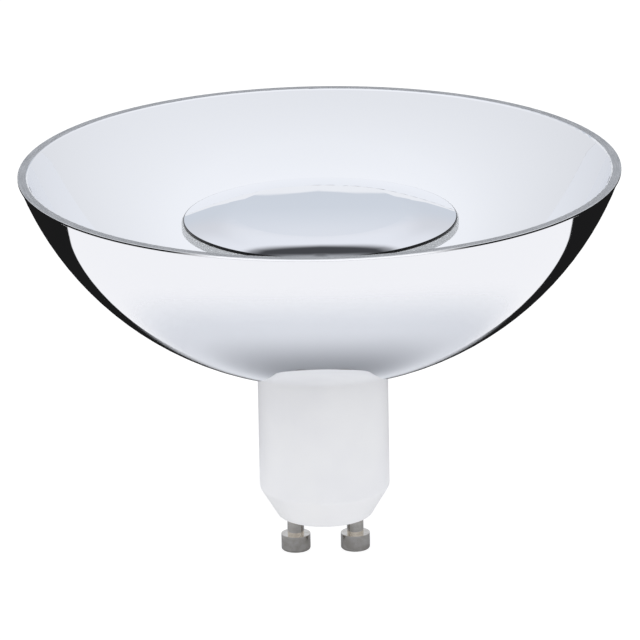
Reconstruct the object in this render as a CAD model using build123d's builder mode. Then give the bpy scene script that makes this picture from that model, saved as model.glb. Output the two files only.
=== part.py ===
from build123d import *
from math import acos, asin, cos, sin, sqrt
import os

# Mirror reflector lamp with a GU10 base, in millimetres.
# Z is the lamp's axis, with z = 0 on the end face of the base and the pins below it, along X.
os.makedirs("parts", exist_ok=True)

# Reflector bowl
rim_radius = 50.0
bowl_depth = 34.34
bowl_wall = 1.5
land_radius = 9.1
rim_band_height = 0.45
rim_outer_rounding = 0.1
rim_inner_rounding = 0.4

# Housing
base_height = 25.77
base_radius = 10.9
base_wall = 1.2
taper_height = 5.0
tip_radius = 7.9
tip_rounding = 0.5
shoulder_rounding = 1.0
end_wall = 1.8
saddle_gap = 0.1
screw_boss_offset = 6.8
screw_boss_radius = 2.0
screw_boss_web = 2.4
pilot_depth = 7.0
pin_boss_radius = 2.5
pin_boss_height = 1.4
rail_depth = 1.2
rail_thickness = 0.9
rail_gap = 0.1

# Contact pins
pin_spacing = 10.0
pin_head_radius = 2.45
pin_head_height = 2.8
pin_head_rounding = 0.4
pin_neck_radius = 1.4
pin_neck_length = 3.7
pin_seat_depth = 0.6
pin_shank_radius = 1.1
pin_hole_gap = 0.05
pin_flare_radius = 1.7
pin_flare_height = 0.7
pin_bore_radius = 0.6
pin_bore_depth = 4.9

# Driver cover
cover_space = 3.2
cover_plate = 1.0
cover_rim = 1.0
cover_gap = 0.2

# Driver board
board_clearance = 2.0
board_thickness = 1.0
board_edge_gap = 0.25
board_top_gap = 0.5

# Parts on the driver board; heights are measured up from its bottom edge or down from its top
part_standoff = 0.25
stub_radius = 0.25
capacitor_radius = 3.0
capacitor_x = -4.35
capacitor_height_on_board = 5.6
capacitor_top_gap = 0.6
capacitor_rounding = 0.4
capacitor_groove = 0.3
capacitor_groove_height = 1.5
capacitor_lead_pitch = 2.5
capacitor_lead_drop = 0.9
film_x = 4.3
film_height_on_board = 4.0
film_size_x = 6.0
film_size_y = 3.2
film_size_z = 3.8
film_rounding = 0.3
film_leg_pitch = 4.0
inductor_x = 4.35
inductor_radius = 2.9
inductor_waist_radius = 1.4
inductor_flange = 0.9
inductor_film_gap = 1.1
inductor_top_gap = 0.6
winding_sink = 0.2
winding_gap = 0.05
resistor_x = -0.9
resistor_radius = 1.1
resistor_height_on_board = 1.0
resistor_length = 4.2
resistor_rounding = 0.4
resistor_lead_length = 0.6
chip_standoff = 0.1
chip_bevel = 0.2
leg_reach = 0.9
leg_sheet = 0.2
bridge_offset = 4.2
bridge_height_on_board = 4.0
bridge_size_x = 4.7
bridge_size_z = 4.0
bridge_thickness = 2.4
bridge_leg_pitch = 2.54
bridge_leg_width = 0.6
driver_chip_offset = 4.0
driver_chip_height_on_board = 4.0
driver_chip_size_x = 4.9
driver_chip_size_z = 3.9
driver_chip_thickness = 1.45
driver_chip_leg_pitch = 1.27
driver_chip_leg_width = 0.4
small_part_drop = 3.4
small_part_pitch_x = 2.9
small_part_pitch_z = 2.8
small_part_length = 2.0
small_part_width = 1.25
small_part_height = 0.6

# Leads
lead_radius = 0.45
lead_standoff = 0.05
lead_hole_radius = 0.9
led_lead_offset = 6.25
led_lead_start = 5.5
led_lead_bend = 0.9
led_lead_run = 2.45
led_lead_lift = 0.2
mains_lead_end = 2.1
mains_lead_bend = 3.5
mains_lead_rise = 0.2
mains_lead_overlap = 3.4
driver_solder_radius = 1.0
led_solder_radius = 1.15

# Heat spreader and its screws
spreader_radius = 15.0
spreader_height = 2.95
spreader_gap = 0.1
spreader_chamfer = 0.4
spigot_radius = 3.5
spigot_gap = 0.1
screw_radius = 1.0
screw_gap = 0.1
thread_gap = 0.05
flat_head_radius = 2.0
flat_head_sink = 0.05
screw_tip = 0.3
spreader_screw_length = 9.5
recess_width = 0.5
recess_length = 2.0
recess_depth = 0.7

# LED board, its pad and the LED packages
pad_thickness = 0.3
led_board_radius = 13.0
led_board_thickness = 1.6
led_size = 3.0
led_pitch = 3.4
led_height = 0.7
led_window_radius = 1.2
led_window_depth = 0.25
led_corner = 0.5

# Light guide
cap_depth = 8.3
cap_radius = 22.75
cap_crown_radius = 450.0
cap_shoulder_start = 14.5
cap_shoulder_radius = 40.0
cap_thickness = 0.4
cap_edge_rounding = 0.12
guide_overhang = 0.25
guide_edge = 1.1
guide_stem_radius = 4.7
guide_flare_height = 9.5
guide_foot_radius = 5.65
guide_foot_height = 1.8
led_chamber_radius = 4.65
led_chamber_gap = 0.3
guide_cone_radius = 6.0
guide_cone_depth = 4.5

# Optic holder and its screws
holder_radius = 12.8
holder_gap = 0.2
holder_top = 1.6
holder_bevel = 1.3
holder_screw_offset = 10.5
holder_seat_height = 1.5
holder_screw_length = 5.0
tapped_depth = 2.2
pan_head_radius = 1.9
pan_head_height = 1.2
pan_head_rounding = 0.5
pocket_half_width = 1.3
pocket_height = 2.1
pocket_margin = 0.4

# Levels along the axis
land_z = base_height
rim_z = land_z + bowl_depth
bowl_rise = (rim_radius**2 + bowl_depth**2 - land_radius**2) / (2 * bowl_depth)
bowl_centre = land_z + bowl_rise
bowl_radius = sqrt(bowl_rise**2 + land_radius**2)
inner_bowl_radius = bowl_radius - bowl_wall
seat_z = land_z + bowl_wall
spreader_top = seat_z + spreader_height
led_board_z = spreader_top + pad_thickness
led_board_top = led_board_z + led_board_thickness
cap_edge_z = rim_z - cap_depth
cover_seat = land_z - cover_space
pin_seat = end_wall + pin_boss_height
pin_tail_top = pin_seat + pin_flare_height
board_bottom = pin_tail_top + board_clearance
board_top = cover_seat - board_top_gap
head_top = -pin_neck_length
head_bottom = head_top - pin_head_height

# Places across the axis
inner_radius = base_radius - base_wall
pin_offset = pin_spacing / 2
pin_places = [(-pin_offset, 0), (pin_offset, 0)]
boss_places = [(0, -screw_boss_offset), (0, screw_boss_offset)]
holder_screw_places = [(0, -holder_screw_offset), (0, holder_screw_offset)]
board_half_width = inner_radius - board_edge_gap
board_back = -board_thickness
mains_lead_y = lead_radius + lead_standoff
led_lead_y = board_back - lead_radius - lead_standoff
led_lead_end = led_lead_y - led_lead_run
led_lead_places = [(-led_lead_offset, led_lead_y), (led_lead_offset, led_lead_y)]
rail_inner = inner_radius - rail_depth
guide_radius = cap_radius + guide_overhang
foot_top = led_board_top + guide_foot_height
shoulder_angle = asin(cap_shoulder_start / cap_crown_radius)
shoulder_x = (cap_crown_radius - cap_shoulder_radius) * sin(shoulder_angle)
shoulder_z = cap_edge_z - sqrt(cap_shoulder_radius**2 - (cap_radius - shoulder_x) ** 2)
crown_centre = shoulder_z - (cap_crown_radius - cap_shoulder_radius) * cos(shoulder_angle)


def bowl_point(radius, angle):
    """A point of a sphere about the bowl's centre, at an angle from the downward axis."""
    return (radius * sin(angle), bowl_centre - radius * cos(angle))


def bowl_arc(radius, start, end):
    """An arc of such a sphere in the section plane."""
    return ThreePointArc(
        bowl_point(radius, start), bowl_point(radius, (start + end) / 2), bowl_point(radius, end)
    )


def angle_at_height(radius, height):
    return acos((bowl_centre - height) / radius)


def crown_height(distance, thickness):
    """Height of the cap's nearly flat middle, or of the face a thickness below it."""
    return crown_centre + sqrt((cap_crown_radius - thickness) ** 2 - distance**2)


def shoulder_height(distance, thickness):
    """The same for the rounder shoulder round the middle."""
    return shoulder_z + sqrt((cap_shoulder_radius - thickness) ** 2 - (distance - shoulder_x) ** 2)


def cap_line(start, end, thickness):
    """Middle and shoulder of that face in the section plane, as two arcs that meet smoothly."""
    joint = (cap_crown_radius - thickness) * sin(shoulder_angle)
    for near, far, height in ((start, joint, crown_height), (joint, end, shoulder_height)):
        ThreePointArc(*[(x, height(x, thickness)) for x in (near, (near + far) / 2, far)])


# Reflector: spun spherical bowl with a flat land at the bottom, and a rim turned flat with a narrow band.
with BuildPart() as reflector:
    outer_land = angle_at_height(bowl_radius, land_z)
    band_z = rim_z - rim_band_height
    outer_rim = angle_at_height(bowl_radius, band_z)
    inner_land = angle_at_height(inner_bowl_radius, seat_z)
    inner_rim = angle_at_height(inner_bowl_radius, rim_z)
    with BuildSketch(Plane.XZ) as bowl_section:
        with BuildLine():
            bore = spigot_radius + spigot_gap
            Line((bore, land_z), bowl_point(bowl_radius, outer_land))
            bowl_arc(bowl_radius, outer_land, outer_rim)
            Polyline(
                bowl_point(bowl_radius, outer_rim),
                (rim_radius, band_z),
                (rim_radius, rim_z),
                bowl_point(inner_bowl_radius, inner_rim),
            )
            bowl_arc(inner_bowl_radius, inner_rim, inner_land)
            Polyline(bowl_point(inner_bowl_radius, inner_land), (bore, seat_z), (bore, land_z))
        make_face()
        fillet(bowl_section.vertices().group_by(Axis.Y)[-1].sort_by(Axis.X)[0], rim_inner_rounding)
        fillet(bowl_section.vertices().group_by(Axis.X)[-1], rim_outer_rounding)
    revolve(axis=Axis.Z)
    with BuildSketch(Plane.XY.offset(land_z)):
        with Locations(*boss_places):
            Circle(screw_radius + 2 * screw_gap)
        with Locations(*led_lead_places):
            Circle(lead_hole_radius)
    extrude(amount=bowl_wall, mode=Mode.SUBTRACT)

reflector.part.label = "reflector"
export_step(reflector.part, "parts/reflector.step")


# Housing: the moulding's core is made first, with bosses and rails left out of it.
with BuildPart() as housing_core:
    taper_slope = (base_radius - tip_radius) / taper_height
    core_tip = inner_radius - taper_slope * (taper_height - end_wall)
    core_top = land_z + bowl_wall
    with BuildSketch(Plane.XZ):
        with BuildLine():
            Polyline(
                (0, end_wall),
                (core_tip, end_wall),
                (inner_radius, taper_height),
                (inner_radius, core_top),
                (0, core_top),
                close=True,
            )
        make_face()
    revolve(axis=Axis.Z)
    # Screw bosses, each joined to the wall by a web
    web_length = base_radius - screw_boss_offset
    with BuildSketch(Plane.XY.offset(end_wall)):
        with Locations(*boss_places):
            Circle(screw_boss_radius)
        with Locations(
            (0, screw_boss_offset + web_length / 2), (0, -screw_boss_offset - web_length / 2)
        ):
            Rectangle(screw_boss_web, web_length)
    extrude(amount=core_top - end_wall, mode=Mode.SUBTRACT)
    # Bosses round the contact pins
    with BuildSketch(Plane.XY.offset(end_wall)):
        with Locations(*pin_places):
            Circle(pin_boss_radius)
    extrude(amount=pin_boss_height, mode=Mode.SUBTRACT)
    # Rails for the driver board, two ribs on each side
    rail_middle = (rail_inner + base_radius) / 2
    rail_length = base_radius - rail_inner
    rib_shift = board_thickness / 2 + rail_gap + rail_thickness / 2
    rib_lines = [board_back / 2 - rib_shift, board_back / 2 + rib_shift]
    with BuildSketch(Plane.XY.offset(end_wall)):
        with Locations(*[(side * rail_middle, line) for side in (-1, 1) for line in rib_lines]):
            Rectangle(rail_length, rail_thickness)
    extrude(amount=cover_seat - end_wall, mode=Mode.SUBTRACT)
    # Foot that closes each rail under the board
    with BuildSketch(Plane.XY.offset(end_wall)):
        with Locations((-rail_middle, board_back / 2), (rail_middle, board_back / 2)):
            Rectangle(rail_length, board_thickness + 2 * rail_gap)
    extrude(amount=board_bottom - end_wall, mode=Mode.SUBTRACT)

with BuildPart() as housing:
    saddle_radius = bowl_radius + saddle_gap
    saddle_outer = asin(base_radius / saddle_radius)
    saddle_inner = angle_at_height(saddle_radius, land_z)
    with BuildSketch(Plane.XZ):
        with BuildLine():
            Polyline(
                (0, land_z),
                (0, 0),
                (tip_radius, 0),
                (base_radius, taper_height),
                bowl_point(saddle_radius, saddle_outer),
            )
            bowl_arc(saddle_radius, saddle_outer, saddle_inner)
            Line(bowl_point(saddle_radius, saddle_inner), (0, land_z))
        make_face()
    revolve(axis=Axis.Z)
    fillet(housing.edges().group_by(Axis.Z)[0], radius=tip_rounding)
    shoulder = housing.edges().filter_by_position(Axis.Z, taper_height - 0.01, taper_height + 0.01)
    fillet(shoulder.filter_by(GeomType.CIRCLE), radius=shoulder_rounding)
    add(housing_core.part, mode=Mode.SUBTRACT)
    # Stepped holes for the contact pins
    with Locations(*[Pos(x, y, 0) * Rot(X=180) for x, y in pin_places]):
        CounterBoreHole(
            radius=pin_shank_radius + pin_hole_gap,
            counter_bore_radius=pin_neck_radius + pin_hole_gap,
            counter_bore_depth=pin_seat_depth,
            depth=pin_seat,
        )
    with BuildSketch(Plane.XY.offset(land_z)):
        with Locations(*boss_places):
            Circle(screw_radius + thread_gap)
    extrude(amount=-pilot_depth, mode=Mode.SUBTRACT)

housing.part.label = "housing"
export_step(housing.part, "parts/housing.step")


# Contact pins: turned, with a head, a neck, a shank through the end wall and a swaged flare.
def contact_pin(place, name):
    with BuildPart() as pin:
        with BuildSketch(Plane.XZ):
            with BuildLine():
                Polyline(
                    (0, head_bottom),
                    (pin_head_radius, head_bottom),
                    (pin_head_radius, head_top),
                    (pin_neck_radius, head_top),
                    (pin_neck_radius, pin_seat_depth),
                    (pin_shank_radius, pin_seat_depth),
                    (pin_shank_radius, pin_seat),
                    (pin_flare_radius, pin_seat),
                    (pin_bore_radius, pin_tail_top),
                    (pin_bore_radius, pin_tail_top - pin_bore_depth),
                    (0, pin_tail_top - pin_bore_depth),
                    close=True,
                )
            make_face()
        revolve(axis=Axis.Z)
        fillet(pin.edges().group_by(Axis.Z)[0], radius=pin_head_rounding)
    placed = pin.part.moved(Location((place[0], place[1], 0)))
    placed.label = name
    export_step(placed, f"parts/{name}.step")


for pin_place, pin_name in zip(pin_places, ["contact_pin_left", "contact_pin_right"]):
    contact_pin(pin_place, pin_name)


# Driver cover: plate on the rails, with a rim up to the bowl's land.
with BuildPart() as driver_cover:
    cover_radius = inner_radius - cover_gap
    notch_radius = screw_boss_radius + cover_gap
    notch_length = cover_radius - screw_boss_offset + cover_gap
    with BuildSketch(Plane.XY.offset(cover_seat)):
        Circle(cover_radius)
        with Locations(*boss_places):
            Circle(notch_radius, mode=Mode.SUBTRACT)
        with Locations(
            (0, screw_boss_offset + notch_length / 2), (0, -screw_boss_offset - notch_length / 2)
        ):
            Rectangle(2 * notch_radius, notch_length, mode=Mode.SUBTRACT)
        with Locations(*led_lead_places):
            Circle(lead_hole_radius, mode=Mode.SUBTRACT)
    extrude(amount=land_z - cover_seat)
    with BuildSketch(Plane.XY.offset(cover_seat + cover_plate)):
        Circle(cover_radius - cover_rim)
    extrude(amount=cover_space, mode=Mode.SUBTRACT)

driver_cover.part.label = "driver_cover"
export_step(driver_cover.part, "parts/driver_cover.step")


# Heat spreader: turned disc that fills the bottom of the bowl, with a centring spigot.
with BuildPart() as heat_spreader:
    under_radius = inner_bowl_radius - spreader_gap
    under_inner = angle_at_height(under_radius, seat_z)
    under_outer = asin(spreader_radius / under_radius)
    with BuildSketch(Plane.XZ):
        with BuildLine():
            Polyline(
                (0, land_z),
                (spigot_radius, land_z),
                (spigot_radius, seat_z),
                bowl_point(under_radius, under_inner),
            )
            bowl_arc(under_radius, under_inner, under_outer)
            Polyline(
                bowl_point(under_radius, under_outer),
                (spreader_radius, spreader_top),
                (0, spreader_top),
                (0, land_z),
            )
        make_face()
    revolve(axis=Axis.Z)
    chamfer(heat_spreader.edges().group_by(Axis.Z)[-1], length=spreader_chamfer)
    with Locations(*[(x, y, spreader_top) for x, y in boss_places]):
        CounterSinkHole(
            radius=screw_radius + screw_gap,
            counter_sink_radius=flat_head_radius + screw_gap,
            counter_sink_angle=90,
        )
    with BuildSketch(Plane.XY.offset(spreader_top)):
        with Locations(*holder_screw_places):
            Circle(screw_radius + thread_gap)
    extrude(amount=-tapped_depth, mode=Mode.SUBTRACT)
    with BuildSketch(Plane.XY.offset(spreader_top)):
        with Locations(*led_lead_places):
            Circle(lead_hole_radius)
    extrude(amount=-spreader_height, mode=Mode.SUBTRACT)

heat_spreader.part.label = "heat_spreader"
export_step(heat_spreader.part, "parts/heat_spreader.step")


def cross(level):
    """Outline of a cross recess in the top face of a screw's head."""
    with BuildSketch(Plane.XY.offset(level)) as outline:
        Rectangle(recess_length, recess_width)
        Rectangle(recess_width, recess_length)
    return outline.sketch


# Countersunk screws: through the spreader and the bowl into the housing.
flat_top = spreader_top - flat_head_sink
with BuildPart() as flat_screw:
    with BuildSketch(Plane.XZ):
        with BuildLine():
            Polyline(
                (0, flat_top),
                (flat_head_radius, flat_top),
                (screw_radius, flat_top - flat_head_radius + screw_radius),
                (screw_radius, flat_top - spreader_screw_length + screw_tip),
                (screw_radius - screw_tip, flat_top - spreader_screw_length),
                (0, flat_top - spreader_screw_length),
                close=True,
            )
        make_face()
    revolve(axis=Axis.Z)
    extrude(cross(flat_top), amount=-recess_depth, mode=Mode.SUBTRACT)

with BuildPart() as spreader_screws:
    with Locations(*boss_places):
        add(flat_screw.part)

spreader_screws.part.label = "spreader_screws"
export_step(spreader_screws.part, "parts/spreader_screws.step")


# Thermal pad and LED board: discs pierced for the leads and the holder's screws.
with BuildSketch() as board_outline:
    Circle(led_board_radius)
    with Locations(*holder_screw_places):
        Circle(screw_radius + screw_gap, mode=Mode.SUBTRACT)
    with Locations(*led_lead_places):
        Circle(lead_hole_radius, mode=Mode.SUBTRACT)

with BuildPart(Plane.XY.offset(spreader_top)) as thermal_pad:
    add(board_outline.sketch)
    extrude(amount=pad_thickness)

thermal_pad.part.label = "thermal_pad"
export_step(thermal_pad.part, "parts/thermal_pad.step")

with BuildPart(Plane.XY.offset(led_board_z)) as led_board:
    add(board_outline.sketch)
    extrude(amount=led_board_thickness)

led_board.part.label = "led_board"
export_step(led_board.part, "parts/led_board.step")


# LED packages: square, with one cut corner and a shallow round window.
with BuildPart() as led_package:
    with BuildSketch(Plane.XY.offset(led_board_top)) as package_outline:
        Rectangle(led_size, led_size)
        corner = package_outline.vertices().group_by(Axis.X)[-1].sort_by(Axis.Y)[-1]
        chamfer(corner, length=led_corner)
    extrude(amount=led_height)
    with BuildSketch(Plane.XY.offset(led_board_top + led_height)):
        Circle(led_window_radius)
    extrude(amount=-led_window_depth, mode=Mode.SUBTRACT)

with BuildPart() as led_packages:
    with GridLocations(led_pitch, led_pitch, 2, 2):
        add(led_package.part)

led_packages.part.label = "led_packages"
export_step(led_packages.part, "parts/led_packages.step")


# Light guide: foot and stem over the LEDs, flared to the ring that shows under the cap.
chamber_top = led_board_top + led_height + led_chamber_gap
guide_edge_z = shoulder_height(guide_radius, cap_thickness)
flare_start = cap_edge_z - guide_flare_height
with BuildPart() as light_guide:
    with BuildSketch(Plane.XZ):
        with BuildLine():
            Polyline(
                (0, chamber_top),
                (led_chamber_radius, chamber_top),
                (led_chamber_radius, led_board_top),
                (guide_foot_radius, led_board_top),
                (guide_foot_radius, foot_top),
                (guide_stem_radius, foot_top),
                (guide_stem_radius, flare_start),
            )
            Spline(
                (guide_stem_radius, flare_start),
                (guide_radius, guide_edge_z - guide_edge),
                tangents=[(0, 1), (1, 0.1)],
            )
            Line((guide_radius, guide_edge_z - guide_edge), (guide_radius, guide_edge_z))
            cap_line(guide_cone_radius, guide_radius, cap_thickness)
            Polyline(
                (guide_cone_radius, crown_height(guide_cone_radius, cap_thickness)),
                (0, crown_height(0, cap_thickness) - guide_cone_depth),
                (0, chamber_top),
            )
        make_face()
    revolve(axis=Axis.Z)

light_guide.part.label = "light_guide"
export_step(light_guide.part, "parts/light_guide.step")


# Mirror cap: thin disc on the light guide, nearly flat in the middle with a rounder shoulder.
with BuildPart() as mirror_cap:
    with BuildSketch(Plane.XZ) as cap_section:
        with BuildLine():
            cap_line(0, cap_radius, cap_thickness)
            Line((cap_radius, shoulder_height(cap_radius, cap_thickness)), (cap_radius, cap_edge_z))
            cap_line(0, cap_radius, 0)
            Line((0, crown_height(0, 0)), (0, crown_height(0, cap_thickness)))
        make_face()
        fillet(cap_section.vertices().group_by(Axis.X)[-1].sort_by(Axis.Y)[-1], cap_edge_rounding)
    revolve(axis=Axis.Z)

mirror_cap.part.label = "mirror_cap"
export_step(mirror_cap.part, "parts/mirror_cap.step")


# Optic holder: bevelled ring that clamps the guide's foot, with pockets over the leads.
holder_top_z = foot_top + holder_top
holder_seat_z = led_board_top + holder_seat_height
with BuildPart() as optic_holder:
    with BuildSketch(Plane.XZ):
        with BuildLine():
            Polyline(
                (guide_foot_radius + holder_gap, led_board_top),
                (holder_radius, led_board_top),
                (holder_radius, holder_top_z - holder_bevel),
                (holder_radius - holder_bevel, holder_top_z),
                (guide_stem_radius + holder_gap, holder_top_z),
                (guide_stem_radius + holder_gap, foot_top),
                (guide_foot_radius + holder_gap, foot_top),
                close=True,
            )
        make_face()
    revolve(axis=Axis.Z)
    pocket_start = led_lead_y + lead_hole_radius
    pocket_end = led_lead_end - led_solder_radius - pocket_margin
    pocket_middle = (pocket_start + pocket_end) / 2
    with BuildSketch(Plane.XY.offset(led_board_top)):
        with Locations((-led_lead_offset, pocket_middle), (led_lead_offset, pocket_middle)):
            Rectangle(2 * pocket_half_width, pocket_start - pocket_end)
    extrude(amount=pocket_height, mode=Mode.SUBTRACT)
    with Locations(*[(x, y, holder_top_z) for x, y in holder_screw_places]):
        CounterBoreHole(
            radius=screw_radius + screw_gap,
            counter_bore_radius=pan_head_radius + holder_gap,
            counter_bore_depth=holder_top_z - holder_seat_z,
        )

optic_holder.part.label = "optic_holder"
export_step(optic_holder.part, "parts/optic_holder.step")


# Pan head screws: through the holder into the spreader.
pan_head_z = holder_seat_z + pan_head_height
with BuildPart() as pan_screw:
    with BuildSketch(Plane.XZ):
        with BuildLine():
            Polyline(
                (0, pan_head_z),
                (pan_head_radius, pan_head_z),
                (pan_head_radius, holder_seat_z),
                (screw_radius, holder_seat_z),
                (screw_radius, holder_seat_z - holder_screw_length + screw_tip),
                (screw_radius - screw_tip, holder_seat_z - holder_screw_length),
                (0, holder_seat_z - holder_screw_length),
                close=True,
            )
        make_face()
    revolve(axis=Axis.Z)
    fillet(pan_screw.edges().group_by(Axis.Z)[-1], radius=pan_head_rounding)
    extrude(cross(pan_head_z), amount=-recess_depth, mode=Mode.SUBTRACT)

with BuildPart() as holder_screws:
    with Locations(*holder_screw_places):
        add(pan_screw.part)

holder_screws.part.label = "holder_screws"
export_step(holder_screws.part, "parts/holder_screws.step")


# Driver board: upright in the rails, with its front face on y = 0.
with BuildPart() as driver_board:
    with BuildSketch(Plane.XZ):
        with Locations((0, (board_bottom + board_top) / 2)):
            Rectangle(2 * board_half_width, board_top - board_bottom)
    extrude(amount=board_thickness)

driver_board.part.label = "driver_board"
export_step(driver_board.part, "parts/driver_board.step")


# Smoothing capacitor: can with a crimped groove, two leads bent back to the board.
capacitor_axis = part_standoff + capacitor_radius
capacitor_bottom = board_bottom + capacitor_height_on_board
capacitor_top = board_top - capacitor_top_gap
with BuildPart() as smoothing_capacitor:
    with BuildSketch(Plane.XY.offset(capacitor_bottom)):
        with Locations((capacitor_x, capacitor_axis)):
            Circle(capacitor_radius)
    extrude(amount=capacitor_top - capacitor_bottom)
    can_ends = smoothing_capacitor.edges().filter_by(GeomType.CIRCLE)
    fillet(can_ends, radius=capacitor_rounding)
    with Locations((capacitor_x, capacitor_axis, capacitor_bottom + capacitor_groove_height)):
        Torus(capacitor_radius + capacitor_groove, 2 * capacitor_groove, mode=Mode.SUBTRACT)
    for side in (-1, 1):
        stub_x = capacitor_x + side * capacitor_lead_pitch / 2
        stub_z = capacitor_bottom - capacitor_lead_drop
        with BuildLine() as stub_path:
            FilletPolyline(
                (stub_x, capacitor_axis, capacitor_bottom),
                (stub_x, capacitor_axis, stub_z),
                (stub_x, 0, stub_z),
                radius=2 * stub_radius,
            )
        with BuildSketch(Plane(origin=stub_path.line @ 0, z_dir=stub_path.line % 0)):
            Circle(stub_radius)
        sweep(path=stub_path.line)

smoothing_capacitor.part.label = "smoothing_capacitor"
export_step(smoothing_capacitor.part, "parts/smoothing_capacitor.step")


# Film capacitor: potted box with two short legs in the board.
film_bottom = board_bottom + film_height_on_board
with BuildPart() as film_capacitor:
    with BuildSketch(Plane.XZ.offset(-part_standoff)):
        with Locations((film_x, film_bottom + film_size_z / 2)):
            Rectangle(film_size_x, film_size_z)
    extrude(amount=-film_size_y)
    fillet(film_capacitor.edges(), radius=film_rounding)
    with BuildSketch(Plane.XZ):
        with Locations(
            (film_x - film_leg_pitch / 2, film_bottom + film_size_z / 2),
            (film_x + film_leg_pitch / 2, film_bottom + film_size_z / 2),
        ):
            Circle(stub_radius)
    extrude(amount=-2 * part_standoff)

film_capacitor.part.label = "film_capacitor"
export_step(film_capacitor.part, "parts/film_capacitor.step")


# Inductor: ferrite drum on two legs, with its winding between the flanges.
inductor_axis = part_standoff + inductor_radius
inductor_top = board_top - inductor_top_gap
inductor_bottom = film_bottom + film_size_z + inductor_film_gap
inductor_length = inductor_top - inductor_bottom
with BuildPart() as inductor_core:
    with BuildSketch(Plane.XY.offset(inductor_bottom)):
        with Locations((inductor_x, inductor_axis)):
            Circle(inductor_radius)
    extrude(amount=inductor_length)
    with BuildSketch(Plane.XY.offset(inductor_bottom + inductor_flange)):
        with Locations((inductor_x, inductor_axis)):
            Circle(inductor_radius + inductor_flange)
            Circle(inductor_waist_radius, mode=Mode.SUBTRACT)
    extrude(amount=inductor_length - 2 * inductor_flange, mode=Mode.SUBTRACT)
    with BuildSketch(Plane.XZ):
        with Locations(
            (inductor_x, inductor_bottom + inductor_flange / 2),
            (inductor_x, inductor_top - inductor_flange / 2),
        ):
            Circle(stub_radius)
    extrude(amount=-inductor_axis)

inductor_core.part.label = "inductor_core"
export_step(inductor_core.part, "parts/inductor_core.step")

with BuildPart() as inductor_winding:
    with BuildSketch(Plane.XY.offset(inductor_bottom + inductor_flange)):
        with Locations((inductor_x, inductor_axis)):
            Circle(inductor_radius - winding_sink)
            Circle(inductor_waist_radius + winding_gap, mode=Mode.SUBTRACT)
    extrude(amount=inductor_length - 2 * inductor_flange)

inductor_winding.part.label = "inductor_winding"
export_step(inductor_winding.part, "parts/inductor_winding.step")


# Fusible resistor: waisted body along the board, with both leads bent into it.
resistor_axis = part_standoff + resistor_radius
resistor_bottom = board_bottom + resistor_height_on_board
resistor_top = resistor_bottom + resistor_length
with BuildPart() as fusible_resistor:
    with BuildSketch(Plane.XY.offset(resistor_bottom)):
        with Locations((resistor_x, resistor_axis)):
            Circle(resistor_radius)
    extrude(amount=resistor_length)
    fillet(fusible_resistor.edges().filter_by(GeomType.CIRCLE), radius=resistor_rounding)
    for end, way in ((resistor_bottom, -1), (resistor_top, 1)):
        turn_z = end + way * resistor_lead_length
        with BuildLine() as lead_path:
            FilletPolyline(
                (resistor_x, resistor_axis, end),
                (resistor_x, resistor_axis, turn_z),
                (resistor_x, 0, turn_z),
                radius=2 * stub_radius,
            )
        with BuildSketch(Plane(origin=lead_path.line @ 0, z_dir=lead_path.line % 0)):
            Circle(stub_radius)
        sweep(path=lead_path.line)

fusible_resistor.part.label = "fusible_resistor"
export_step(fusible_resistor.part, "parts/fusible_resistor.step")


# Packaged chips on the back of the board: a bevelled body with rows of bent legs.
def packaged_chip(name, x, z, size_x, size_z, height, legs, leg_pitch, leg_width):
    """A chip on the board's back face, with its legs above and below the body."""
    with BuildPart() as chip:
        with BuildSketch(Plane.XZ.offset(board_thickness + chip_standoff)):
            with Locations((x, z)):
                Rectangle(size_x, size_z)
        extrude(amount=height)
        chamfer(chip.edges().filter_by(Axis.Y), length=chip_bevel)
        chamfer(chip.faces().sort_by(Axis.Y)[0].edges(), length=chip_bevel)
        for leg in range(legs):
            leg_x = x + (leg - (legs - 1) / 2) * leg_pitch
            for way in (-1, 1):
                root = z + way * size_z / 2
                with BuildSketch(Plane.YZ.offset(leg_x - leg_width / 2)):
                    Polygon(
                        (board_back - chip_standoff - height / 2, root - way * chip_bevel),
                        (board_back - chip_standoff - height / 2, root + way * leg_reach),
                        (board_back, root + way * leg_reach),
                        (board_back, root + way * (leg_reach - leg_sheet)),
                        (
                            board_back - chip_standoff - height / 2 + leg_sheet,
                            root + way * (leg_reach - leg_sheet),
                        ),
                        (
                            board_back - chip_standoff - height / 2 + leg_sheet,
                            root - way * chip_bevel,
                        ),
                        align=None,
                    )
                extrude(amount=leg_width)
    chip.part.label = name
    export_step(chip.part, f"parts/{name}.step")


packaged_chip(
    "bridge_rectifier",
    -bridge_offset,
    board_bottom + bridge_height_on_board,
    bridge_size_x,
    bridge_size_z,
    bridge_thickness,
    2,
    bridge_leg_pitch,
    bridge_leg_width,
)
packaged_chip(
    "driver_chip",
    driver_chip_offset,
    board_bottom + driver_chip_height_on_board,
    driver_chip_size_x,
    driver_chip_size_z,
    driver_chip_thickness,
    4,
    driver_chip_leg_pitch,
    driver_chip_leg_width,
)

# Small surface-mounted parts: a grid of blocks in the upper part of the board's back.
with BuildPart() as chip_parts:
    with BuildSketch(Plane.XZ.offset(board_thickness)):
        with Locations((0, board_top - small_part_drop)):
            with GridLocations(small_part_pitch_x, small_part_pitch_z, 4, 2):
                Rectangle(small_part_length, small_part_width)
    extrude(amount=small_part_height)

chip_parts.part.label = "chip_parts"
export_step(chip_parts.part, "parts/chip_parts.step")


# Insulated leads: round wire swept along straight runs joined by arcs.
def lead(name, points, bend):
    with BuildPart() as wire:
        with BuildLine() as route:
            FilletPolyline(*points, radius=bend)
        with BuildSketch(Plane(origin=route.line @ 0, z_dir=route.line % 0)):
            Circle(lead_radius)
        sweep(path=route.line)
    wire.part.label = name
    export_step(wire.part, f"parts/{name}.step")


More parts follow.
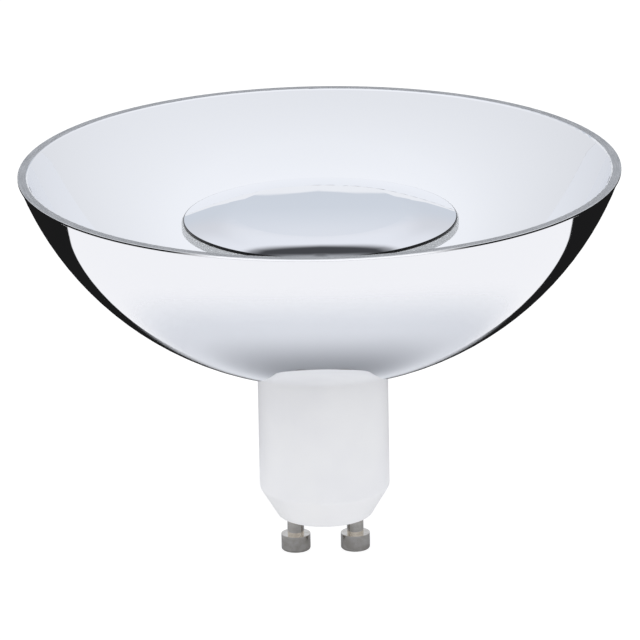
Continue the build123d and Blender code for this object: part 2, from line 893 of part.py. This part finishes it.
mains_end_z = board_bottom + mains_lead_end
mains_start_z = pin_tail_top - mains_lead_overlap
for (pin_x, _), lead_name in zip(pin_places, ["live_lead", "neutral_lead"]):
    mains_route = [
        (pin_x, 0, mains_start_z),
        (pin_x, 0, pin_tail_top + mains_lead_rise),
        (pin_x, mains_lead_y, board_bottom - mains_lead_rise),
        (pin_x, mains_lead_y, mains_end_z),
    ]
    lead(lead_name, mains_route, mains_lead_bend)

led_lead_foot = board_top - led_lead_start
led_lead_top = led_board_top + lead_radius + led_lead_lift
for (lead_x, _), lead_name in zip(led_lead_places, ["led_lead_positive", "led_lead_negative"]):
    led_route = [
        (lead_x, led_lead_y, led_lead_foot),
        (lead_x, led_lead_y, led_lead_top),
        (lead_x, led_lead_end, led_lead_top),
    ]
    lead(lead_name, led_route, led_lead_bend)

# Solder joints: a quarter ball at each soldered lead end, flat against the lead's end face.
with BuildPart() as solder_joints:
    with Locations(*[(x, 0, mains_end_z) for x, _ in pin_places]):
        Sphere(driver_solder_radius, arc_size1=0, arc_size3=180, align=None)
    with Locations(*[Pos(x, board_back, led_lead_foot) * Rot(Z=180) for x, _ in led_lead_places]):
        Sphere(driver_solder_radius, arc_size2=0, arc_size3=180, align=None)
    with Locations(*[Pos(x, led_lead_end, led_board_top) * Rot(Z=180) for x, _ in led_lead_places]):
        Sphere(led_solder_radius, arc_size1=0, arc_size3=180, align=None)

solder_joints.part.label = "solder_joints"
export_step(solder_joints.part, "parts/solder_joints.step")
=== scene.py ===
# LED spotlight bulb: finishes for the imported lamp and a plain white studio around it.
import math

import bpy
from mathutils import Matrix, Vector


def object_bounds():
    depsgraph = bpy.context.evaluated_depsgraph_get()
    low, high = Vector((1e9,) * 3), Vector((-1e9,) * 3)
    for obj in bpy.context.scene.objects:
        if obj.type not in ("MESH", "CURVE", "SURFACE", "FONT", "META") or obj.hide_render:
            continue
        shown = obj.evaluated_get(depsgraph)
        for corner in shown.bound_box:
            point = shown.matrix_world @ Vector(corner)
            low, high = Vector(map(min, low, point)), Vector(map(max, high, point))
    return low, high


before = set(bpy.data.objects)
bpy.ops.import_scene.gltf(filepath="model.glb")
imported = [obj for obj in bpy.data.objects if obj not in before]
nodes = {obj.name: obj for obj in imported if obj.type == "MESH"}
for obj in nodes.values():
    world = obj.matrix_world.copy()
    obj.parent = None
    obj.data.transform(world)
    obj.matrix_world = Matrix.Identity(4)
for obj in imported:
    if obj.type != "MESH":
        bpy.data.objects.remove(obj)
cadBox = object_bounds()
print("frame loaded:", len(nodes), "nodes")

mm = 0.001
ground = cadBox[0][2] / mm  # level of the pin tips


def spanOf(name):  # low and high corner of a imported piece, in millimetres
    corners = [nodes[name].matrix_world @ Vector(corner) for corner in nodes[name].bound_box]
    return [[pick(corner[axis] for corner in corners) / mm for axis in range(3)] for pick in (min, max)]


def linearColour(hexCode):  # sRGB hex to the linear values that the sockets want
    parts = [int(hexCode[i:i + 2], 16) / 255 for i in (1, 3, 5)]
    return tuple(p / 12.92 if p <= 0.04045 else ((p + 0.055) / 1.055) ** 2.4 for p in parts) + (1.0,)


def addNode(tree, kind, settings, links={}):  # a setting or link names a socket; any other setting is the node's own
    node = tree.nodes.new(kind)
    for name, value in settings.items():
        if isinstance(name, int) or name in node.inputs:
            node.inputs[name].default_value = value
        else:
            setattr(node, name, value)
    for name, source in links.items():
        tree.links.new(source, node.inputs[name])
    return node


def startMaterial(name, settings):
    material = bpy.data.materials.new(name)
    material.use_nodes = True
    tree = material.node_tree
    shader = tree.nodes["Principled BSDF"]
    for socket, value in settings.items():
        shader.inputs[socket].default_value = value
    place = addNode(tree, "ShaderNodeTexCoord", {}).outputs["Object"]
    return material, tree, shader, place


def startCard(name):  # a floor's material, with nothing in it yet
    material = bpy.data.materials.new(name)
    material.use_nodes = True
    tree = material.node_tree
    tree.nodes.remove(tree.nodes["Principled BSDF"])
    return material, tree


def dress(material, *names):
    for name in names:
        nodes[name].material_slots[0].material = material


def addMath(tree, operation, first, second=0.0, third=0.0):  # numbers or sockets, in the order the node lists them
    settings, links = {"operation": operation}, {}
    for index, value in enumerate((first, second, third)):
        if isinstance(value, (int, float)):
            settings[index] = value
        else:
            links[index] = value
    return addNode(tree, "ShaderNodeMath", settings, links).outputs[0]


def ramp(tree, value, start, end, low=0.0, high=1.0, soft=True):
    kind = "SMOOTHSTEP" if soft else "LINEAR"
    settings = {"interpolation_type": kind, "From Min": start, "From Max": end, "To Min": low, "To Max": high}
    return addNode(tree, "ShaderNodeMapRange", settings, {"Value": value}).outputs["Result"]


def between(tree, value, rise, fall):  # one between two soft edges, nothing outside them
    return addMath(tree, "MULTIPLY", ramp(tree, value, *rise), ramp(tree, value, *fall, 1.0, 0.0))


def blendColour(tree, factor, first, second):  # hex colours or sockets
    settings, links = {"data_type": "RGBA"}, {0: factor}
    for index, value in ((6, first), (7, second)):
        if isinstance(value, str):
            settings[index] = linearColour(value)
        else:
            links[index] = value
    return addNode(tree, "ShaderNodeMix", settings, links).outputs[2]


def blendValue(tree, factor, first, second):  # from a socket to a number
    return addNode(tree, "ShaderNodeMix", {"data_type": "FLOAT", 3: second}, {0: factor, 2: first}).outputs[0]


def toneRamp(tree, source, stops, span):  # grey tones at places from nothing to span
    fall = addNode(tree, "ShaderNodeValToRGB", {}, {0: source})
    marks = fall.color_ramp.elements
    for index, (place, value) in enumerate(stops):
        mark = marks[index] if index < 2 else marks.new(place / span)
        mark.position = place / span
        mark.color = (value, value, value, 1.0)
    return fall.outputs[0]


def heightOf(tree, place):
    return addNode(tree, "ShaderNodeSeparateXYZ", {}, {0: place}).outputs[2]


def lengthOf(tree, vector):
    return addNode(tree, "ShaderNodeVectorMath", {"operation": "LENGTH"}, {0: vector}).outputs["Value"]


def reachOf(tree, place):  # distance from the lamp's axis
    flat = addNode(tree, "ShaderNodeVectorMath", {"operation": "MULTIPLY", 1: (1.0, 1.0, 0.0)}, {0: place})
    return lengthOf(tree, flat.outputs[0])


def addNoise(tree, place, size, detail):  # size is that of one blotch
    return addNode(tree, "ShaderNodeTexNoise", {"Scale": 1 / size, "Detail": detail}, {"Vector": place}).outputs[0]


def addRings(tree, along, size):  # tool rings: noise that changes in one direction only
    settings = {"Scale": 1 / size, "Detail": 2.0, "noise_dimensions": "1D"}
    return addNode(tree, "ShaderNodeTexNoise", settings, {"W": along}).outputs[0]


def colourBy(tree, shader, factor, first, second):
    tree.links.new(blendColour(tree, factor, first, second), shader.inputs["Base Color"])


def addBump(tree, shader, height, strength, depth):
    bump = addNode(tree, "ShaderNodeBump", {"Strength": strength, "Distance": depth}, {"Height": height})
    tree.links.new(bump.outputs["Normal"], shader.inputs["Normal"])


# Camera, at the angle of the photograph. The lamp's bowl sits a degree askew on its base there, so it is rolled.
camera = {
    "aim": (-0.315, 0.0, 33.87),
    "distance": 1200.0,
    "elevation": 17.85,
    "roll": 1.0,
    "lens": 404.8,
    "sensor": 36.0,
    "clip": (50.0, 20000.0),
}

bpy.ops.object.camera_add()
view = bpy.context.object
view.name = "camera"
raised = math.radians(camera["elevation"])
away = Vector((0.0, -math.cos(raised), math.sin(raised)))
turn = away.to_track_quat("Z", "Y").to_matrix() @ Matrix.Rotation(-math.radians(camera["roll"]), 3, "Z")
view.matrix_world = Matrix.Translation((Vector(camera["aim"]) + camera["distance"] * away) * mm) @ turn.to_4x4()
view.data.lens = camera["lens"]
view.data.sensor_width = camera["sensor"]
view.data.clip_start, view.data.clip_end = [reach * mm for reach in camera["clip"]]
bpy.context.scene.camera = view
bpy.context.scene.view_settings.view_transform = "Standard"
print("camera placed")

# Studio: white on all sides, with a black strip low down all round, which draws the dark edges of polished metal,
# and a grey backdrop behind with a dark slot above it, for the cap. Elevations are given by their tangents,
# headings by their cosine from straight behind, and places aside on the backdrop by the tangent of their heading.
# A pair gives the two ends of a soft edge.
studio = {
    "above": "#F8FAFF",
    "below": "#F8F8FB",
    "horizon": (-0.02, 0.0),
    "sky": ((0.0, 0.795), (1.0, 0.94), (1.5, 0.975), (2.0, 0.99)),
    "skyTop": 2.0,
    "sides": 0.028,  # both sides are a little brighter
    "lean": 0.02,  # the right one more than the left, up to leanTop
    "leanTop": 1.3,
    "low": 0.1,  # brighter low down straight behind
    "lowHeading": (0.88, 0.98),
    "lowTop": (0.24, 0.32),
    "strip": ((-0.691, -0.683), (-0.09, -0.03)),
    "stripTone": 0.012,
    "gap": ((-0.41, -0.38), (-0.29, -0.26)),  # a light gap in the strip, on the camera's side
    "gapHeading": (-0.8, -0.5),
    "gapTone": 1.12,
    "backHalf": (0.0, 0.1),
    "card": ((0.25, 0.735), (0.3, 0.755), (0.38, 0.85), (0.45, 0.888), (0.6, 0.905)),
    "cardStretch": (0.02, 0.14, 1.0, 0.66),  # the tones reach higher away from its middle
    "cardTints": ("#EDF4FF", "#F4F7FF"),
    "cardTintSpan": (0.28, 0.42),
    "cardLow": (0.247, 0.253),
    "cardPeak": (0.0, 0.02, 0.0, 0.012),  # its lower edge rises a little beside the middle, then drops
    "cardDrop": (0.022, 0.08, 0.0, -0.037),
    "cardHigh": (1.25, 1.45),
    "cardSide": (0.36, 0.5),
    "slotLow": 0.62,
    "slotCurl": 1.75,  # its lower edge curls up to both sides
    "slotPower": 1.3,
    "slotEdge": (-0.05, 0.08),
    "slotHigh": (0.84, 1.06),
    "slotPaint": "#46474B",
    "mirrorBounces": 12,  # the bowl mirrors itself many times along its rim
}
tiny = 0.0001  # keeps a division from meeting nothing

world = bpy.data.worlds.new("studio")
bpy.context.scene.world = world
world.use_nodes = True
tree = world.node_tree
direction = addNode(tree, "ShaderNodeTexCoord", {}).outputs["Generated"]
across, behind, upward = addNode(tree, "ShaderNodeSeparateXYZ", {}, {0: direction}).outputs
level = addMath(tree, "MULTIPLY_ADD", across, across, addMath(tree, "MULTIPLY", behind, behind))
level = addMath(tree, "MAXIMUM", addMath(tree, "SQRT", level), tiny)
slope = addMath(tree, "DIVIDE", upward, level)
forward = addMath(tree, "DIVIDE", behind, level)
sideways = addMath(tree, "DIVIDE", across, level)
aside = addMath(tree, "DIVIDE", across, addMath(tree, "MAXIMUM", behind, tiny))
aside = addMath(tree, "ABSOLUTE", aside)
backHalf = ramp(tree, forward, *studio["backHalf"])

sky = toneRamp(tree, addMath(tree, "DIVIDE", slope, studio["skyTop"]), studio["sky"], studio["skyTop"])
lean = addMath(tree, "MULTIPLY", sideways, ramp(tree, slope, 0.0, studio["leanTop"], studio["lean"], 0.0))
lean = addMath(tree, "MULTIPLY_ADD", addMath(tree, "MULTIPLY", sideways, sideways), studio["sides"], lean)
sky = addMath(tree, "MULTIPLY", sky, addMath(tree, "ADD", 1.0, lean))
lowBehind = addMath(tree, "MULTIPLY", ramp(tree, forward, *studio["lowHeading"]),
                    ramp(tree, slope, *studio["lowTop"], studio["low"], 0.0))
sky = addMath(tree, "MULTIPLY", sky, addMath(tree, "ADD", 1.0, lowBehind))
sky = blendColour(tree, sky, "#000000", studio["above"])

cardLevel = addMath(tree, "MULTIPLY", slope, ramp(tree, aside, *studio["cardStretch"]))
cardTint = blendColour(tree, ramp(tree, slope, *studio["cardTintSpan"]), *studio["cardTints"])
card = blendColour(tree, toneRamp(tree, cardLevel, studio["card"], 1.0), "#000000", cardTint)
cardEdge = addMath(tree, "ADD", ramp(tree, aside, *studio["cardPeak"], soft=False),
                   ramp(tree, aside, *studio["cardDrop"], soft=False))
onCard = addMath(tree, "MULTIPLY", ramp(tree, addMath(tree, "SUBTRACT", slope, cardEdge), *studio["cardLow"]),
                 ramp(tree, slope, *studio["cardHigh"], 1.0, 0.0))
onCard = addMath(tree, "MULTIPLY", onCard, ramp(tree, aside, *studio["cardSide"], 1.0, 0.0))
upper = blendColour(tree, addMath(tree, "MULTIPLY", onCard, backHalf), sky, card)

slotEdge = addMath(tree, "POWER", aside, studio["slotPower"])
slotEdge = addMath(tree, "MULTIPLY_ADD", slotEdge, studio["slotCurl"], studio["slotLow"])
inSlot = addMath(tree, "MULTIPLY", ramp(tree, addMath(tree, "SUBTRACT", slope, slotEdge), *studio["slotEdge"]),
                 ramp(tree, slope, *studio["slotHigh"], 1.0, 0.0))
upper = blendColour(tree, addMath(tree, "MULTIPLY", inSlot, backHalf), upper, studio["slotPaint"])

strip = between(tree, slope, *studio["strip"])
gap = addMath(tree, "MULTIPLY", between(tree, slope, *studio["gap"]),
              ramp(tree, forward, *studio["gapHeading"], 1.0, 0.0))
lower = addMath(tree, "MULTIPLY_ADD", strip, studio["stripTone"] - 1.0, 1.0)
lower = blendValue(tree, gap, lower, studio["gapTone"])
high = ramp(tree, slope, *studio["horizon"])
background = tree.nodes["Background"]
tree.links.new(blendColour(tree, high, studio["below"], upper), background.inputs["Color"])
tree.links.new(blendValue(tree, high, lower, 1.0), background.inputs["Strength"])

# Floor: pale card under the pin tips, almost white, with only a breath of shadow where the lamp stands.
floorPlan = {"size": 6000.0, "drop": 0.03, "glow": 0.93, "paint": 0.16}

bpy.ops.object.select_all(action="DESELECT")
bpy.ops.mesh.primitive_plane_add(size=floorPlan["size"] * mm, location=(0, 0, (ground - floorPlan["drop"]) * mm))
floor = bpy.context.object
floor.name = "floor"
bpy.ops.object.transform_apply(location=True, rotation=True, scale=True)
floorCard, tree = startCard("paleCard")  # matt pale card that also glows a little, as a lit light table does
glow = addNode(tree, "ShaderNodeEmission", {"Color": linearColour("#FFFFFF"), "Strength": floorPlan["glow"]})
paint = addNode(tree, "ShaderNodeBsdfDiffuse", {"Color": (floorPlan["paint"],) * 3 + (1.0,)})
both = addNode(tree, "ShaderNodeAddShader", {}, {0: glow.outputs[0], 1: paint.outputs[0]})
tree.links.new(both.outputs[0], tree.nodes["Material Output"].inputs["Surface"])
floor.data.materials.append(floorCard)
floor.visible_glossy = False  # polished metal sees the shaded floor and the studio instead

# Floor close to the lamp, seen in mirrors only: matt card that takes the lamp's soft shadow, with a painted shadow on
# it as well, greyer towards the middle; it fades out at its rim so that the studio's black strip still shows.
nearFloor = {
    "drop": 0.01,
    "radius": 75.0,
    "fade": (42.0, 72.0),
    "shadowFade": (7.0, 40.0),
    "shadowGrey": "#AEB0B4",
    "paint": "#F7F8FA",
}

bpy.ops.object.select_all(action="DESELECT")
bpy.ops.mesh.primitive_circle_add(vertices=96, radius=nearFloor["radius"] * mm, fill_type="NGON",
                                  location=(0, 0, (ground - nearFloor["drop"]) * mm))
shadedFloor = bpy.context.object
shadedFloor.name = "shadedFloor"
bpy.ops.object.transform_apply(location=True, rotation=True, scale=True)
shadowPaintedCard, tree = startCard("shadowPaintedCard")  # dead matt card with a painted shadow: grey under the lamp, near white further out
place = addNode(tree, "ShaderNodeTexCoord", {}).outputs["Object"]
reach = lengthOf(tree, place)  # from the middle of the base's end face, a little above this floor
# painted shadow: the card is painted greyer near the lamp's axis
paintedShadow = ramp(tree, reach, *[end * mm for end in nearFloor["shadowFade"]])
paintedShadow = blendColour(tree, paintedShadow, nearFloor["shadowGrey"], nearFloor["paint"])
paint = addNode(tree, "ShaderNodeBsdfDiffuse", {}, {"Color": paintedShadow})
clear = addNode(tree, "ShaderNodeBsdfTransparent", {})
fade = ramp(tree, reach, *[end * mm for end in nearFloor["fade"]])
faded = addNode(tree, "ShaderNodeMixShader", {}, {0: fade, 1: paint.outputs[0], 2: clear.outputs[0]})
tree.links.new(faded.outputs[0], tree.nodes["Material Output"].inputs["Surface"])
shadedFloor.data.materials.append(shadowPaintedCard)
shadedFloor.visible_camera = shadedFloor.visible_diffuse = shadedFloor.visible_transmission = False

# Soft lights, wide enough to leave no hard edge anywhere: one from the upper left, two low ones for the base.
softboxes = {  # place, width and watts
    "keyLight": ((-900.0, -700.0, 1100.0), 900.0, 1.2),
    "leftLight": ((-1250.0, -560.0, 150.0), 700.0, 2.6),
    "rightLight": ((1250.0, -520.0, 150.0), 700.0, 2.8),
}
lightAim = Vector((0.0, 0.0, 30.0)) * mm

for name, (spot, size, watts) in softboxes.items():
    bpy.ops.object.light_add(type="AREA", location=[value * mm for value in spot])
    lamp = bpy.context.object
    lamp.name = name
    lamp.data.size = size * mm
    lamp.data.energy = watts
    lamp.rotation_euler = (lightAim - lamp.location).to_track_quat("-Z", "Y").to_euler()
    lamp.visible_glossy = False
bpy.context.scene.cycles.glossy_bounces = studio["mirrorBounces"]
print("studio lit")

# Reflector: aluminium sheet spun over a form and polished inside and out; its rim is turned flat and left cut.
bowl = {
    "metal": "#F7F8FA",
    "roughness": 0.015,
    "wiping": 8.33,  # width of the wiping marks
    "wiped": 0.02,
    "rimDepth": 0.05,
    "rimBlend": 0.045,
    "rimLow": "#8E9092",
    "rimHigh": "#CACBCC",
    "rimRoughness": 0.3,
    "groove": 0.04,
    "grooveBreaks": 9.0,
}

polished, tree, shader, place = startMaterial("polishedSpunAluminium", {"Metallic": 1.0})
rimLevel = spanOf("reflector")[1][2] - bowl["rimDepth"]
across, behind, height = addNode(tree, "ShaderNodeSeparateXYZ", {}, {0: place}).outputs
rim = ramp(tree, height, rimLevel * mm, (rimLevel + bowl["rimBlend"]) * mm)
angle = addMath(tree, "MULTIPLY", addMath(tree, "ARCTAN2", across, behind), bowl["grooveBreaks"])
grooveCount = addMath(tree, "DIVIDE", reachOf(tree, place), bowl["groove"] * mm)
lathe = addNode(tree, "ShaderNodeCombineXYZ", {}, {0: angle, 1: grooveCount})
cutMarks = addNoise(tree, lathe.outputs[0], 1.0, 1.0)
rimTone = blendColour(tree, ramp(tree, cutMarks, 0.3, 0.7), bowl["rimLow"], bowl["rimHigh"])
colourBy(tree, shader, rim, bowl["metal"], rimTone)
cloud = addNoise(tree, place, bowl["wiping"] * mm, 2.0)
sheen = ramp(tree, cloud, 0.35, 0.75, bowl["roughness"], bowl["roughness"] + bowl["wiped"])
tree.links.new(blendValue(tree, rim, sheen, bowl["rimRoughness"]), shader.inputs["Roughness"])
grooves = addMath(tree, "MULTIPLY", addMath(tree, "SUBTRACT", cutMarks, 0.5), rim)
addBump(tree, shader, grooves, 1.0, bowl["groove"] * mm)
dress(polished, "reflector")

# Cap: dark polycarbonate disc, metallised in vacuum; the film is as smooth as the moulding, and a thin band low on
# its edge is made dark and not metallic.
cap = {
    "metal": "#F8F9FB",
    "roughness": 0.01,
    "specular": 0.15,
    "edge": "#0B0C0D",
    "edgeHeight": 0.5,
    "edgeWidth": 0.15,
    "edgeBlend": 0.02,
    "ripple": 3.85,  # width of the moulding ripple
}

metallised, tree, shader, place = startMaterial("vacuumMetallisedDisc", {
    "Roughness": cap["roughness"], "Specular IOR Level": cap["specular"]})
capLow, capHigh = spanOf("mirror_cap")
edgeLevel = capLow[2] + cap["edgeHeight"]
edgeReach = capHigh[0] - cap["edgeWidth"]
# a thin band low on the cap's edge is dark and not metallic
secondFinish = addMath(tree, "MULTIPLY",
               ramp(tree, reachOf(tree, place), (edgeReach - cap["edgeBlend"]) * mm, edgeReach * mm),
               ramp(tree, heightOf(tree, place), (edgeLevel - cap["edgeBlend"]) * mm, edgeLevel * mm, 1.0, 0.0))
colourBy(tree, shader, secondFinish, cap["metal"], cap["edge"])
tree.links.new(addMath(tree, "SUBTRACT", 1.0, secondFinish), shader.inputs["Metallic"])
addBump(tree, shader, addNoise(tree, place, cap["ripple"] * mm, 1.0), 0.03, 0.05 * mm)
dress(metallised, "mirror_cap")

# Light guide: moulded acrylic, clear, with its wall left as the polished tool gave it.
guide = {"tint": "#F2F4F4", "roughness": 0.3, "clear": 0.25, "flow": 3.33}

acrylic, tree, shader, place = startMaterial("clearAcrylic", {
    "Base Color": linearColour(guide["tint"]), "Transmission Weight": guide["clear"],
    "IOR": 1.49, "Roughness": guide["roughness"]})
addBump(tree, shader, addNoise(tree, place, guide["flow"] * mm, 1.0), 0.01, 0.05 * mm)
dress(acrylic, "light_guide")
print("bowl and optic finished")

# Housing: white PBT, injection moulded in a tool with a fine spark grain, so it shines softly and shows no gloss.
housing = {"white": "#ECECED", "shade": "#E8E8EA", "roughness": 0.42, "tide": 11.1, "grain": 0.35}

mouldedPbt, tree, shader, place = startMaterial("mouldedWhitePbt", {"Roughness": housing["roughness"], "IOR": 1.55})
tide = addNoise(tree, place, housing["tide"] * mm, 2.0)
colourBy(tree, shader, ramp(tree, tide, 0.3, 0.7), housing["white"], housing["shade"])
addBump(tree, shader, addNoise(tree, place, housing["grain"] * mm, 3.0), 0.12, 0.05 * mm)
dress(mouldedPbt, "housing")

# Pins: brass turned on a lathe and nickel plated, with fine rings left by the tool.
pin = {"nickel": "#DFDAD2", "dull": "#CEC8BE", "roughness": 0.11, "blot": 1.11, "ring": 0.22}

nickel, tree, shader, place = startMaterial("nickelPlatedBrass", {"Metallic": 1.0, "Roughness": pin["roughness"]})
blot = addNoise(tree, place, pin["blot"] * mm, 3.0)
colourBy(tree, shader, ramp(tree, blot, 0.3, 0.7), pin["dull"], pin["nickel"])
addBump(tree, shader, addRings(tree, heightOf(tree, place), pin["ring"] * mm), 0.2, 0.03 * mm)
dress(nickel, "contact_pin_left", "contact_pin_right")
print("base and pins finished")

# Plain finishes for the parts inside, each with the grain or marks of how it is made.
inside = {  # colour, metallic, roughness, grain in millimetres, and the pieces
    "mouldedPolycarbonate": ("#E9EAE8", 0.0, 0.4, 0.5, ("optic_holder", "driver_cover")),
    "zincPlatedSteel": ("#C3C7CC", 1.0, 0.28, 0.25, ("holder_screws", "spreader_screws")),
    "filledSiliconePad": ("#8F969C", 0.0, 0.75, 0.4, ("thermal_pad",)),
    "sinteredFerrite": ("#37373A", 0.0, 0.6, 0.3, ("inductor_core",)),
    "mouldedEpoxyResin": ("#232325", 0.0, 0.5, 0.2, ("bridge_rectifier", "driver_chip")),
    "pottedPolyesterBox": ("#C79A3A", 0.0, 0.35, 0.6, ("film_capacitor",)),
    "firedCeramicChip": ("#8A7257", 0.0, 0.4, 0.3, ("chip_parts",)),
    "siliconeSleeveWhite": ("#E6E4DE", 0.0, 0.5, 0.4, ("live_lead", "neutral_lead")),
    "pvcSleeveRed": ("#B0322C", 0.0, 0.45, 0.4, ("led_lead_positive",)),
    "pvcSleeveBlack": ("#26262A", 0.0, 0.45, 0.4, ("led_lead_negative",)),
    "tinSolder": ("#C9CCCD", 1.0, 0.2, 0.6, ("solder_joints",)),
}
grainShade = 0.9  # the darker side of the grain, as a share of the colour
grainRough = 0.15

for name, (colour, metallic, roughness, grainSize, pieces) in inside.items():
    material, tree, shader, place = startMaterial(name, {"Metallic": metallic})
    grain = addNoise(tree, place, grainSize * mm, 3.0)
    darker = "#" + "".join(f"{int(int(colour[i:i + 2], 16) * grainShade):02X}" for i in (1, 3, 5))
    colourBy(tree, shader, ramp(tree, grain, 0.3, 0.7), darker, colour)
    uneven = ramp(tree, grain, 0.3, 0.7, roughness * (1 - grainRough), roughness * (1 + grainRough))
    tree.links.new(uneven, shader.inputs["Roughness"])
    addBump(tree, shader, grain, 0.15, 0.05 * mm)
    dress(material, *pieces)

# Heat spreader: aluminium disc faced on a lathe, so its rings turn with it.
spreader = {"metal": "#C9CDD1", "dull": "#B3B8BD", "roughness": 0.3, "ring": 0.3}

facedAluminium, tree, shader, place = startMaterial("facedAluminium", {
    "Metallic": 1.0, "Roughness": spreader["roughness"]})
rings = addRings(tree, reachOf(tree, place), spreader["ring"] * mm)
colourBy(tree, shader, rings, spreader["dull"], spreader["metal"])
addBump(tree, shader, rings, 0.3, 0.04 * mm)
dress(facedAluminium, "heat_spreader")

# LED board: white solder resist on aluminium, with the copper under it showing as a slightly raised ring.
ledBoard = {"resist": "#F1F1EC", "copper": "#E3E2D8", "track": (5.2, 9.4), "trackBlend": 0.15}

whiteResist, tree, shader, place = startMaterial("whiteSolderResist", {"Roughness": 0.38})
inner, outer = [(edge * mm, (edge + ledBoard["trackBlend"]) * mm) for edge in ledBoard["track"]]
track = between(tree, reachOf(tree, place), inner, outer)
colourBy(tree, shader, track, ledBoard["resist"], ledBoard["copper"])
addBump(tree, shader, track, 0.4, 0.05 * mm)
dress(whiteResist, "led_board")

# LED packages: alumina ceramic with a yellow phosphor layer under the clear dome.
led = {"ceramic": "#ECEAE3", "phosphor": "#E9C944", "dome": 0.2, "blend": 0.04, "powder": 0.167}

phosphor, tree, shader, place = startMaterial("phosphorOnAlumina", {"Roughness": 0.3})
domeLevel = spanOf("led_packages")[1][2] - led["dome"]
top = ramp(tree, heightOf(tree, place), domeLevel * mm, (domeLevel + led["blend"]) * mm)
colourBy(tree, shader, top, led["ceramic"], led["phosphor"])
addBump(tree, shader, addNoise(tree, place, led["powder"] * mm, 2.0), 0.1, 0.02 * mm)
dress(phosphor, "led_packages")

# Driver board: glass fibre and epoxy, where the woven cloth shows faintly through green resist.
board = {"resist": "#2F6B45", "weave": "#3B7C52", "pitch": 3.77}

glassEpoxy, tree, shader, place = startMaterial("glassEpoxyBoard", {"Roughness": 0.35})
bands = math.pi / 10 / (board["pitch"] * mm)  # the wave node repeats every pi / 10 of its own unit
warp, weft = [
    addNode(tree, "ShaderNodeTexWave", {"Scale": bands, "bands_direction": axis}, {"Vector": place}).outputs["Fac"]
    for axis in ("X", "Z")]
cloth = addMath(tree, "MULTIPLY", warp, weft)
colourBy(tree, shader, cloth, board["resist"], board["weave"])
addBump(tree, shader, cloth, 0.1, 0.03 * mm)
dress(glassEpoxy, "driver_board")

# Smoothing capacitor: aluminium can in a shrunk sleeve, bare on its pressed end.
can = {"sleeve": "#2B3550", "metal": "#C6CACC", "bareEnd": 0.37, "blend": 0.05}

shrunkSleeve, tree, shader, place = startMaterial("shrunkSleeveOnCan", {"Roughness": 0.3})
sleeveTop = spanOf("smoothing_capacitor")[1][2] - can["bareEnd"]
secondFinish = ramp(tree, heightOf(tree, place), sleeveTop * mm, (sleeveTop + can["blend"]) * mm)
colourBy(tree, shader, secondFinish, can["sleeve"], can["metal"])
tree.links.new(secondFinish, shader.inputs["Metallic"])
dress(shrunkSleeve, "smoothing_capacitor")

# Winding: enamelled copper wire, its turns side by side round the core.
winding = {"copper": "#B4643A", "enamel": "#6E3A22", "wire": 0.35, "depth": 0.12}

enamelledCopper, tree, shader, place = startMaterial("enamelledCopper", {"Metallic": 0.9, "Roughness": 0.25})
turns = addMath(tree, "SINE", addMath(tree, "MULTIPLY", heightOf(tree, place), math.pi / (winding["wire"] * mm)))
turns = addMath(tree, "ABSOLUTE", turns)
colourBy(tree, shader, turns, winding["enamel"], winding["copper"])
addBump(tree, shader, turns, 0.6, winding["depth"] * mm)
dress(enamelledCopper, "inductor_winding")

# Fusible resistor: ceramic rod in flame-proof lacquer with painted bands, placed from its lower end.
resistor = {"lacquer": "#9DB9C4", "paint": "#6A3B2A", "bands": (1.35, 2.25, 3.15, 4.25), "width": 0.45, "blend": 0.03}

bandedLacquer, tree, shader, place = startMaterial("bandedLacquer", {"Roughness": 0.35})
rodEnd = spanOf("fusible_resistor")[0][2]
halfBand = resistor["width"] / 2
height = heightOf(tree, place)
painted = 0.0
for spot in resistor["bands"]:
    offBand = addMath(tree, "ABSOLUTE", addMath(tree, "SUBTRACT", height, (rodEnd + spot) * mm))
    band = ramp(tree, offBand, halfBand * mm, (halfBand + resistor["blend"]) * mm, 1.0, 0.0)
    painted = addMath(tree, "MAXIMUM", band, painted)
colourBy(tree, shader, painted, resistor["lacquer"], resistor["paint"])
dress(bandedLacquer, "fusible_resistor")
print("inner parts finished")
